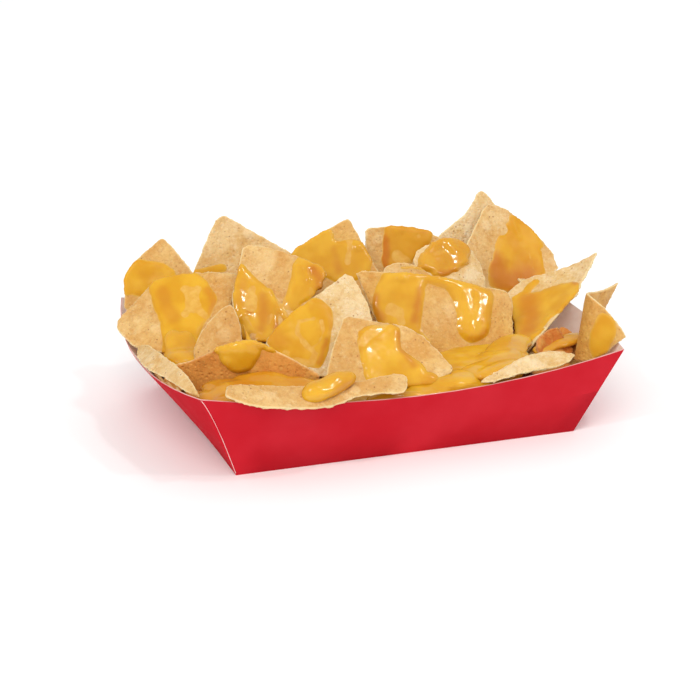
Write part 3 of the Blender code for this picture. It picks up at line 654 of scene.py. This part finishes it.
    f = Film(chips["chip_centre_bright"], 20)
    f.coat("sauce_centre_bright", 0.8, width=3.6, reach=1.6)
    f.run([(-46, -20, 44), (-43, -25, 39), (-36, -28, 37)], 4.8, 0.7)
    f.run([(-46, -19, 47), (-43, -17, 50), (-35, -14, 55)], 3.0, 0.6)
    f.thin([(-30, -18.5, 51), (-36.5, -18, 50.5), (-38, -20.5, 46.5), (-36.5, -23.5, 43)], 1.1)
    f.thin([(-36.5, -23.5, 43), (-34, -26.5, 40.5), (-32, -28.5, 38.5)], 1.5)
    f.thin([(-34, -26.5, 40.5), (-30, -26, 42.5), (-27, -23, 46), (-27, -20, 50)], 1.0)
    f.thin([(-45, -24.5, 39.5), (-40.5, -28.5, 36.5), (-35.5, -30.5, 35.5), (-33, -29, 38)], 2.0, share=0.75)
    f.thick([(-42, -26, 38.5), (-39, -26.5, 39), (-37.5, -27.5, 38.5)], 1.3)
    f.thin([(-30, -14, 57), (-24, -17, 54.5), (-22.5, -22, 50)], 1.2, share=0.5)
    f.shade([(-48, -19, 46), (-46, -21, 43.5)], 4.0, 0.45, blur=6.0)
    f.shade([(-26.5, -26, 43), (-29, -29, 39.5), (-31.5, -31.5, 36)], 1.3, 0.7, blur=2.5)
    f.piece("cheese_centre_bright", satin, "sauce_centre_bright")

    f = Film(chips["chip_right_large"], 21)
    f.coat("sauce_right_left", 1.1, width=2.8, reach=1.0, steep=True)
    f.coat("sauce_right_tongue", 2.4, width=3.4, reach=0.2, steep=True)
    f.dry([(27, -12, 56.5), (32, -14, 55), (34, -17, 52), (34, -22, 45)], 3.0)
    f.run([(8, -4, 63), (20, -6.5, 62.5), (33, -10, 60.3), (46, -14, 57), (53, -17, 54.5)], 1.8, 1.2,
          steep=True)
    f.run([(41, -15, 56), (42, -19, 50), (41.5, -25, 41)], 3.6, 2.2, width=3.4, steep=True)
    f.run([(48, -16, 54), (46.5, -20, 48), (43.5, -25, 40)], 3.2, 2.2, width=3.4, steep=True)
    f.run([(42, -25, 41), (41.5, -26, 39.5)], 4.2, 3.0, width=3.8, steep=True)
    f.run([(17.5, -18.5, 44.5), (19, -22, 40), (22.5, -26, 35.5)], 1.2, 0.8)
    f.run([(24, -9, 60), (20, -10.5, 57), (16.5, -11.5, 54)], 1.2, 1.9, steep=True)
    f.thin([(8, -12.5, 49.5), (11, -14, 48)], 3.2, share=0.8)
    f.thin([(11, -15, 46.5), (11.5, -17, 44)], 1.8, share=0.8)
    f.shade([(2, -7.5, 54), (0.5, -10, 50), (2.5, -13, 46.5)], 2.4, 0.7)
    f.shade([(22, -11, 57), (20, -14, 52), (17, -18, 45)], 1.4, 0.8)
    f.shade([(38, -27.5, 37), (44, -28, 36.5), (48, -26, 39)], 1.2, 0.8)
    f.piece("cheese_right_large", gloss, "sauce_right_left", "sauce_right_tongue", lumps=0.12, rounds=12)

    f = Film(chips["chip_right_trough"], 22)
    f.ragged *= 1.4
    f.coat("sauce_right_trough", 0.7, width=4.0, reach=1.6)
    f.run([(72, -3, 45), (78, -1, 47.5), (84, 1.5, 50)], 1.8, 0.6)
    f.run([(64, -18, 34), (66, -28, 34), (72, -32, 36)], 4.6, 0.9, width=4.0)
    f.dry([(69, -34.5, 35), (74.5, -31.5, 37.5), (82, -28.5, 42), (92, -24, 48), (98, -20, 51)], 1.3)
    f.shade([(77, -6, 44), (75, -16, 40.5), (70, -24, 37)], 4.6, 0.75, blur=8.0)
    f.shade([(98, -12, 52), (99, -15, 50.5)], 2.0, 0.9)
    f.piece("cheese_right_trough", satin, "sauce_right_trough")

    f = Film(chips["chip_front_tent"], 23)
    f.coat("sauce_front_drip", 1.9, width=2.8, reach=0.9, steep=True)
    f.run([(-79, -39, 49.5), (-70, -43, 53.5), (-62, -46.5, 52.5), (-57, -48.3, 50)], 1.9, 1.5, steep=True)
    f.piece("cheese_front_drip", gloss, "sauce_front_drip")

    f = Film(chips["chip_front_centre"], 24)
    f.coat("sauce_front_centre", 1.4, width=2.8, reach=0.8, steep=True)
    f.run([(-12, -55, 36), (0, -58, 33.5), (9, -60, 32)], 4.2, 1.4)
    # This pale diagonal band is thinned sauce and also a painted reflection on the flat of the film.
    f.thin([(-16, -44, 47), (-12, -41.5, 50), (-5, -39, 52.5)], 2.6, share=0.75)
    f.shade([(6, -60, 32), (9, -60, 33)], 3.0, 0.3, blur=5.0)
    f.shade([(0.5, -43.5, 48.5), (0, -48, 43.5), (3, -54.5, 38)], 1.5, 0.7)
    f.piece("cheese_front_centre", gloss, "sauce_front_centre", lumps=0.3)

    f = Film(chips["chip_right_folded"], 25)
    f.ragged *= 1.3
    f.coat("sauce_right_folded", 0.5, width=6.0, reach=1.6)
    f.piece("cheese_right_folded", satin, "sauce_right_folded")


# ---------------------------------------------------------------- sauce pools
def add_dollop(bm, at, size, az=0.0, tilt=0.0):
    """An egg-shaped mass of sauce: half lengths, turned by az and tipped along its length."""
    made = bmesh.ops.create_icosphere(bm, subdivisions=3, radius=1.0)
    turn = Matrix.Rotation(math.radians(az), 4, "Z") @ Matrix.Rotation(-math.radians(tilt), 4, "Y")
    bmesh.ops.transform(bm, matrix=Matrix.Translation(at) @ turn @ Matrix.Diagonal((*size, 1)),
                        verts=made["verts"])


def build_sauce(name, mat, dollops, seed, *nodes, melted=True, shade_range=(0.0, 0.5), wave=0.40):
    """A body of sauce: dollops, melted together with the CAD solids unless they only outline it."""
    bm = bmesh.new()
    for node in nodes if melted else ():
        bm.from_mesh(frame["nodes"][node].data)
    bmesh.ops.remove_doubles(bm, verts=bm.verts, dist=1e-6)
    bmesh.ops.scale(bm, vec=(1 / MM,) * 3, verts=bm.verts)
    bm.normal_update()
    for vert in bm.verts:
        vert.co += vert.normal * 0.4
    for dollop in dollops:
        add_dollop(bm, *dollop)
    verts, faces, normals = remeshed(bm, 0.8, 20)
    up = smoothstep((normals[:, 2] - 0.1) / 0.5)
    swell = wave * noise_at(verts * np.array([1, 1.6, 1]), 9.0, seed) + 0.10 * noise_at(verts, 3.0, seed + 1)
    verts = verts + normals * (swell * up)[:, None]
    obj = new_piece(name, verts, faces, mat)
    put_attribute(obj, "film", np.full(len(verts), 1.0))
    # Painted shade: a deeper orange on the faces that turn down, with noise, between the two given shares.
    shade_share = smoothstep(0.5 + 1.2 * noise_at(verts, 14.0, seed + 2) - 0.5 * up)
    put_attribute(obj, "dark", shade_range[0] + (shade_range[1] - shade_range[0]) * shade_share)
    return finished(obj, "cheese_sauce", *nodes)


def build_pools(mat):
    """Pools of sauce between the chips, each dollop as its place, half lengths, az and tilt."""
    build_sauce("cheese_pool_left", mat, [
        ((-62, -48, 35.5), (14, 6, 5.2), -18, 0),
        ((-48, -53, 34.5), (9, 5, 4.0), -22, -8),
        ((-79, -46, 34.5), (10, 7, 3.8), -30, 0),
        ((-87, -52, 33.2), (6, 6, 3.2), 0, 0),
    ], 41, "pool_front_left", shade_range=(0.45, 1.0), wave=0.65)
    build_sauce("cheese_pool_right", mat, [
        ((48, -47, 33.5), (13, 10, 3.4), 10, 0),
        ((20, -60, 31.5), (12, 9, 3.6), 0, 0),
        ((3, -64, 29.0), (12, 5, 2.6), 0, 0),
        ((-12, -63.5, 28.5), (10, 4.6, 3.6), 0, 0),
    ], 42, "pool_front_right")
    build_sauce("cheese_fan", mat, [
        ((51, -42, 34.6), (19, 9.5, 2.6), 51, 6),
        ((61, -34, 35.0), (8, 6, 2.2), 60, 8),
        ((45, -52, 34.0), (14, 9, 3.0), 40, 6),
        ((41, -61.5, 34.2), (14, 5.5, 3.2), 12, 4),
        ((36, -55, 33.0), (14, 8, 2.4), 20, 0),
    ], 45, "pool_right_fan", "sauce_rim_right", melted=False, shade_range=(0.0, 0.3), wave=0.12)
    build_sauce("cheese_strand", mat, [
        ((80, -41, 36.2), (12, 6.0, 2.2), 12, 5),
        ((70, -43, 34.6), (8, 5.0, 2.0), 20, 4),
    ], 46, shade_range=(0.3, 0.7), wave=0.25)
    build_sauce("cheese_blob_front", mat, [
        ((-46, -71, 38.2), (7.0, 4.8, 5.0), 10, 10),
        ((-38, -69, 39.8), (9.0, 4.8, 4.8), 14, 14),
    ], 43, "sauce_rim_front")
    build_sauce("cheese_foot_left", mat, [
        ((-86.5, -2, 33.9), (7.0, 9.5, 4.3), 0, 0),
        ((-80, -4, 33.9), (8, 8.5, 4.1), 0, 0),
        ((-85.5, 4.5, 38.6), (8.5, 6.0, 2.3), 90, 35),
        ((-80, 3.5, 38.6), (7.5, 5.0, 2.2), 90, 35),
        ((-87.5, 7, 33.2), (4.5, 6, 4.2), 0, 0),
        ((-79, 6, 33.2), (6, 7, 4.2), 0, 0),
        ((-56, -8, 37), (3.0, 6, 4.0), 0, 0),
    ], 44)
    build_sauce("cheese_thread", mat, [
        ((-57.2, -8, 43.5), (7.5, 1.2, 1.5), -88, -31),
        ((-57.2, -12, 40.5), (4.0, 2.0, 1.6), -88, -31),
    ], 47)


# ---------------------------------------------------------------- the heap below
def build_core(mat):
    """The middle of the heap, drawn in from the bed's outline to make room for real chips."""
    verts, faces, normals = remeshed(joined("chip_bed"), 2.2, 6)
    relief = 1.6 * noise_at(verts, 9.0, 51) + 0.6 * noise_at(verts, 3.5, 52)
    up = smoothstep((normals[:, 2] - 0.2) / 0.4)
    verts = verts + normals * (-(1.2 + 2.6 * up) + relief * up)[:, None]
    # The core's deep red-brown is partly painted shade between the pieces.
    return finished(new_piece("soaked_core_painted_shade", verts, faces, mat), "chip_heap", "chip_bed")


def loose_outline(rng, radius):
    """A broken chip's outline: a rounded polygon of three to five corners."""
    corners = rng.choice((3, 3, 4, 4, 5))
    turn = rng.uniform(0, math.tau)
    ring = []
    for k in range(corners):
        angle = turn + math.tau * (k + rng.uniform(-0.18, 0.18)) / corners
        reach = radius * rng.uniform(0.78, 1.15)
        ring.append(Vector((reach * math.cos(angle), reach * math.sin(angle))))
    points = []
    for k, here in enumerate(ring):
        before, after = ring[k - 1], ring[(k + 1) % corners]
        start, end = here.lerp(before, 0.22), here.lerp(after, 0.22)
        for t in (0, 0.33, 0.67, 1):
            points.append(start.lerp(here, t).lerp(here.lerp(end, t), t))
        for t in (0.25, 0.5, 0.75):
            points.append(end.lerp(after.lerp(here, 0.22), t))
    return points


LOOSE_LAYERS = ((0.4, -0.75, 0), (0.8, -0.75, 0.1), (0.96, -0.62, 0.6), (1.0, -0.2, 1), (1.0, 0.25, 1),
                (0.96, 0.62, 0.6), (0.8, 0.75, 0.1), (0.4, 0.75, 0))


def loose_chip(rng, radius):
    """A broken chip lying at the origin: points, faces and rim shares."""
    outline = loose_outline(rng, radius)
    bend, axis = rng.uniform(-0.012, 0.012), rng.uniform(0, math.pi)
    seed = rng.randint(1, 999)
    verts, rims = [], []

    def put(x, y, lift, rim):
        u = x * math.cos(axis) + y * math.sin(axis)
        wave = 0.5 * noise.noise(Vector((x, y, seed)) / 9.0)
        verts.append((x, y, lift + bend * u * u + wave))
        rims.append(rim)

    for share, lift, rim in LOOSE_LAYERS:
        for p in outline:
            put(p.x * share, p.y * share, lift, rim)
    put(0, 0, -0.75, 0)
    put(0, 0, 0.75, 0)
    count = len(outline)
    bottom, top = len(verts) - 2, len(verts) - 1
    last = (len(LOOSE_LAYERS) - 1) * count
    faces = []
    for i in range(count):
        j = (i + 1) % count
        faces += [(bottom, j, i), (top, last + i, last + j)]
        for k in range(len(LOOSE_LAYERS) - 1):
            faces.append((k * count + i, k * count + j, (k + 1) * count + j, (k + 1) * count + i))
    return np.array(verts), faces, rims


def turned(verts, az, lean, spin):
    """Turn a chip that lies flat: spin it, tip it by lean, and face it to az, in radians."""
    c, s = math.cos(spin), math.sin(spin)
    verts = verts @ np.array([[c, s, 0], [-s, c, 0], [0, 0, 1]])
    c, s = math.cos(lean), math.sin(lean)
    verts = verts @ np.array([[1, 0, 0], [0, c, s], [0, -s, c]])
    c, s = math.cos(az), math.sin(az)
    return verts @ np.array([[c, s, 0], [-s, c, 0], [0, 0, 1]])


LOOSE_TRIES = 2600
LOOSE_MOST = 190
TUCKED = (  # centre, radius, az, lean, spin in degrees, tone: chips listed one by one to fill a gap
    ((-90.0, -14, 28.0), 8.5, -22, 26, 20, 1.25),
    ((-87.0, -32, 28.5), 8.5, -22, 30, 70, 1.35),
    ((-91.0, 7, 27.0), 8.0, -30, 22, 40, 1.1),
    ((-92.5, -50, 30.5), 6.4, 102, 59, 10, 1.2),
    ((-94.7, -40, 30.5), 6.4, 101, 59, 80, 1.15),
    ((-96.4, -30, 30.3), 6.4, 99, 59, 200, 1.2),
    ((-97.9, -18, 30.0), 6.4, 96, 59, 120, 1.1),
    ((-98.3, 14, 30.0), 6.4, 88, 59, 30, 1.0),
    # The last two, on the right, are toned dark as painted shade in the gap below the rim chip.
    ((71, -50, 27.0), 13, 10, 12, 0, 1.7),
    ((80, -37, 33.5), 10, -20, 48, 10, 1.6),
)


def build_loose(mat, fixed):
    """Broken chips lying over the core wherever the placed chips leave room."""
    rng = random.Random(7)
    bed = tree_of(["chip_bed"])
    solids = tree_of(fixed)
    all_verts, all_faces, rims, tones, placed = [], [], [], [], []
    for _ in range(LOOSE_TRIES):
        if len(placed) >= LOOSE_MOST:
            break
        x, y = rng.uniform(-92, 92), rng.uniform(-64, 66)
        hit = bed.ray_cast(Vector((x, y, 120)), Vector((0, 0, -1)))
        if hit[0] is None:
            continue
        behind = y > 34
        radius = rng.uniform(8, 17) if len(placed) < 90 else rng.uniform(5, 10)
        lean = math.radians(rng.uniform(4, 50 if behind else 34))
        az = math.radians(rng.uniform(130, 230) if behind else rng.uniform(-180, 180))
        verts, faces, rim = loose_chip(rng, radius)
        verts = turned(verts, az, lean, rng.uniform(0, math.tau))
        verts = verts + np.array([x, y, hit[0].z + rng.uniform(-2.5, 4.0 if behind else 1.5)])
        tree = BVHTree.FromPolygons(verts.tolist(), faces)
        if tree.overlap(solids) or sum(len(tree.overlap(t)) > 40 for t in placed[-60:]):
            continue
        if verts[:, 2].max() > hit[0].z + (16 if behind else 8) or np.abs(verts[:, 1]).max() > 74:
            continue
        placed.append(tree)
        first = len(all_verts)
        all_verts += verts.tolist()
        all_faces += [tuple(first + i for i in f) for f in faces]
        rims += rim
        tones += [rng.uniform(0.45, 1.0)] * len(rim)
    for at, radius, az, lean, spin, tone in TUCKED:
        verts, faces, rim = loose_chip(rng, radius)
        verts = turned(verts, *(math.radians(angle) for angle in (az, lean, spin))) + np.array(at)
        first = len(all_verts)
        all_verts += verts.tolist()
        all_faces += [tuple(first + i for i in f) for f in faces]
        rims += rim
        tones += [tone] * len(rim)
    obj = new_piece("tortilla_broken", all_verts, all_faces, mat)
    put_attribute(obj, "rim", np.array(rims) * 0.8)
    put_attribute(obj, "tone", tones)
    put_attribute(obj, "blister", np.zeros(len(rims)))
    print("loose chips", len(placed), "faces", len(all_faces))
    return finished(obj, "chip_heap")


# ---------------------------------------------------------------- tray
def build_tray(red, pale, edge):
    """The board tray: the CAD's outer shell, with a thin wall, a pale inside and a cut rim."""
    bm = joined("tray")
    inner = [f for f in bm.faces if not is_outer(f)]
    bmesh.ops.delete(bm, geom=inner, context="FACES")
    bmesh.ops.dissolve_limit(bm, angle_limit=0.0005, verts=bm.verts, edges=bm.edges)
    bmesh.ops.triangulate(bm, faces=[f for f in bm.faces if len(f.verts) > 4])
    bmesh.ops.scale(bm, vec=(MM,) * 3, verts=bm.verts)
    mesh = bpy.data.meshes.new("board_tray")
    bm.to_mesh(mesh)
    bm.free()
    for mat in (red, pale, edge):
        mesh.materials.append(mat)
    obj = bpy.data.objects.new("board_tray", mesh)
    bpy.context.scene.collection.objects.link(obj)
    wall = obj.modifiers.new("wall", "SOLIDIFY")
    wall.thickness = 0.45 * MM
    wall.offset = -1
    wall.use_even_offset = True
    wall.material_offset = 1
    wall.material_offset_rim = 2
    apply_all(obj)
    obj.data.shade_smooth()
    obj.data.set_sharp_from_angle(angle=math.radians(24))
    return finished(obj, "red_board", "tray")


FLAP_CORNERS = ((-1, -1), (1, 1))
CORNER_FOOT = Vector((77.5, 58.5, 0.0))       # a tray corner at the base and at the rim
CORNER_HEAD = Vector((95.0, 69.5, 40.0))
FLAP_WIDE = 1.9
FLAP_THICK = 0.35
CUT_WIDE = 0.40            # the bare cut edge, torn to a slope
FLAP_ROWS = 28


def build_flaps(red, edge):
    """The glued end flaps: a thin curved sliver beside a corner fold, its cut edge bare."""
    for number, (sx, sy) in enumerate(FLAP_CORNERS):
        mirror = Vector((sx, sy, 1))
        along = Vector((-sx, 0, 0))
        slope = (CORNER_HEAD - CORNER_FOOT) * mirror
        outward = along.cross(slope).normalized()
        if outward.y * sy < 0:
            outward.negate()
        verts = []
        for k in range(FLAP_ROWS + 1):
            share = 0.03 + 0.955 * k / FLAP_ROWS
            wide = FLAP_WIDE * math.sin(math.pi * min(1, share * 1.02)) ** 0.6 * (0.30 + 0.70 * share)
            fold = (CORNER_FOOT.lerp(CORNER_HEAD, share)) * mirror
            tip = fold + along * max(wide, 0.15)
            lift = outward * FLAP_THICK
            foot = tip + along * CUT_WIDE - outward * 0.05
            verts += [fold - outward * 0.1, fold + lift * 0.35, tip + lift, foot]
        faces, kinds = [], []
        for k in range(FLAP_ROWS):
            for side in range(4):
                a, b = 4 * k + side, 4 * k + (side + 1) % 4
                faces.append((a, b, b + 4, a + 4))
                kinds.append(1 if side == 2 else 0)
        faces += [(3, 2, 1, 0), tuple(4 * FLAP_ROWS + i for i in range(4))]
        kinds += [1, 1]
        obj = new_piece(f"flap_{number}", verts, faces, red, smooth=False)
        obj.data.materials.append(edge)
        for face, kind in zip(obj.data.polygons, kinds):
            face.material_index = kind
        bm = bmesh.new()
        bm.from_mesh(obj.data)
        bmesh.ops.recalc_face_normals(bm, faces=bm.faces)
        bm.to_mesh(obj.data)
        bm.free()
        finished(obj, "red_board")


def is_outer(face):
    """Whether a face of the CAD tray is on its outside: the slopes look outward and down."""
    if face.normal.z < -0.9:
        return True
    centre = face.calc_center_median()
    outward = face.normal.x * centre.x + face.normal.y * centre.y
    return outward > 0 and face.normal.z < 0.1


def apply_all(obj):
    mesh = bpy.data.meshes.new_from_object(obj.evaluated_get(bpy.context.evaluated_depsgraph_get()))
    obj.modifiers.clear()
    obj.data = mesh


# ---------------------------------------------------------------- stage, light and camera
CAMERA_AT = Vector((-0.31054, -0.88300, 0.36520))
LOOK_AT = Vector((-0.00635, 0.00130, 0.02729))
CAMERA_ROLL = math.radians(0.1)
LENS = 113.7


def add_area(name, at, target, size, power, colour=(1, 1, 1)):
    light = bpy.data.lights.new(name, "AREA")
    light.shape = "RECTANGLE"
    light.size, light.size_y = size
    light.energy = power
    light.color = colour
    obj = bpy.data.objects.new(name, light)
    obj.location = at
    obj.rotation_euler = (Vector(target) - Vector(at)).to_track_quat("-Z", "Y").to_euler()
    bpy.context.scene.collection.objects.link(obj)
    return obj


def build_stage():
    floor = new_piece("floor", [(-3000, -3000, 0), (3000, -3000, 0), (3000, 3000, 0), (-3000, 3000, 0)],
                      [(0, 1, 2, 3)], floor_material(), smooth=False)
    world = bpy.data.worlds.new("studio")
    world.use_nodes = True
    world.node_tree.nodes["Background"].inputs["Color"].default_value = (1.0, 1.0, 1.0, 1.0)
    world.node_tree.nodes["Background"].inputs["Strength"].default_value = 0.66
    bpy.context.scene.world = world
    sun = bpy.data.lights.new("key", "SUN")
    sun.energy = 1.34
    sun.angle = math.radians(40)
    sun.color = (1.0, 0.985, 0.96)
    key = bpy.data.objects.new("key", sun)
    key.rotation_euler = Vector((0.36, 0.70, -0.66)).to_track_quat("-Z", "Y").to_euler()
    key.visible_glossy = False
    bpy.context.scene.collection.objects.link(key)
    add_area("left_box", (-0.70, -0.45, 0.80), (0, 0, 0.03), (0.07, 0.15), 1.7)
    add_area("right_box", (0.55, -0.65, 0.85), (0, 0, 0.03), (0.05, 0.14), 1.4)
    add_area("top_box", (0.30, -0.42, 1.02), (0, 0, 0.03), (0.08, 0.08), 1.3)
    back = add_area("back_box", (0.30, 0.80, 0.60), (0, 0, 0.03), (0.50, 0.30), 1.4)
    back.visible_glossy = False
    camera = bpy.data.objects.new("camera", bpy.data.cameras.new("camera"))
    camera.data.lens = LENS
    camera.data.sensor_width = 36
    camera.data.clip_start = 0.01
    camera.location = CAMERA_AT
    aim = (LOOK_AT - CAMERA_AT).to_track_quat("-Z", "Y")
    camera.rotation_euler = (aim @ Quaternion((0, 0, 1), CAMERA_ROLL)).to_euler()
    bpy.context.scene.collection.objects.link(camera)
    bpy.context.scene.camera = camera
    bpy.context.scene.view_settings.view_transform = "Standard"


# ---------------------------------------------------------------- build
def main():
    chip_mat = chip_material()
    gloss = cheese_material("melted_cheese", 0.15, 0.45, 0.32)
    satin = cheese_material("cheese_smear", 0.34, 0.0, 0.35)
    names = sorted(n for n in frame["nodes"] if n.startswith("chip_") and n != "chip_bed")
    chips = {}
    for k, node in enumerate(names):
        chips[node] = fine_chip(node, 100 + 7 * k)
        chips[node]["cad"] = tree_of([node])
        build_chip(node, chips[node], chip_mat, 500 + k)
    build_films(chips, gloss, satin)
    build_pools(gloss)
    build_core(heap_material())
    build_loose(chip_mat, [n for n in frame["nodes"] if n != "chip_bed"])
    red, edge = red_material(), board_material("cut_edge", "CE8E89", "DDA9A4")
    # The inside board's pink tint is painted red bounce light from the walls; the board itself is pale.
    build_tray(red, board_material("pale_board", "F6DCD3", "FBE9E2"), edge)
    build_flaps(red, board_material("flap_edge", "EFCFC9", "F6DEDA"))
    build_stage()


main()
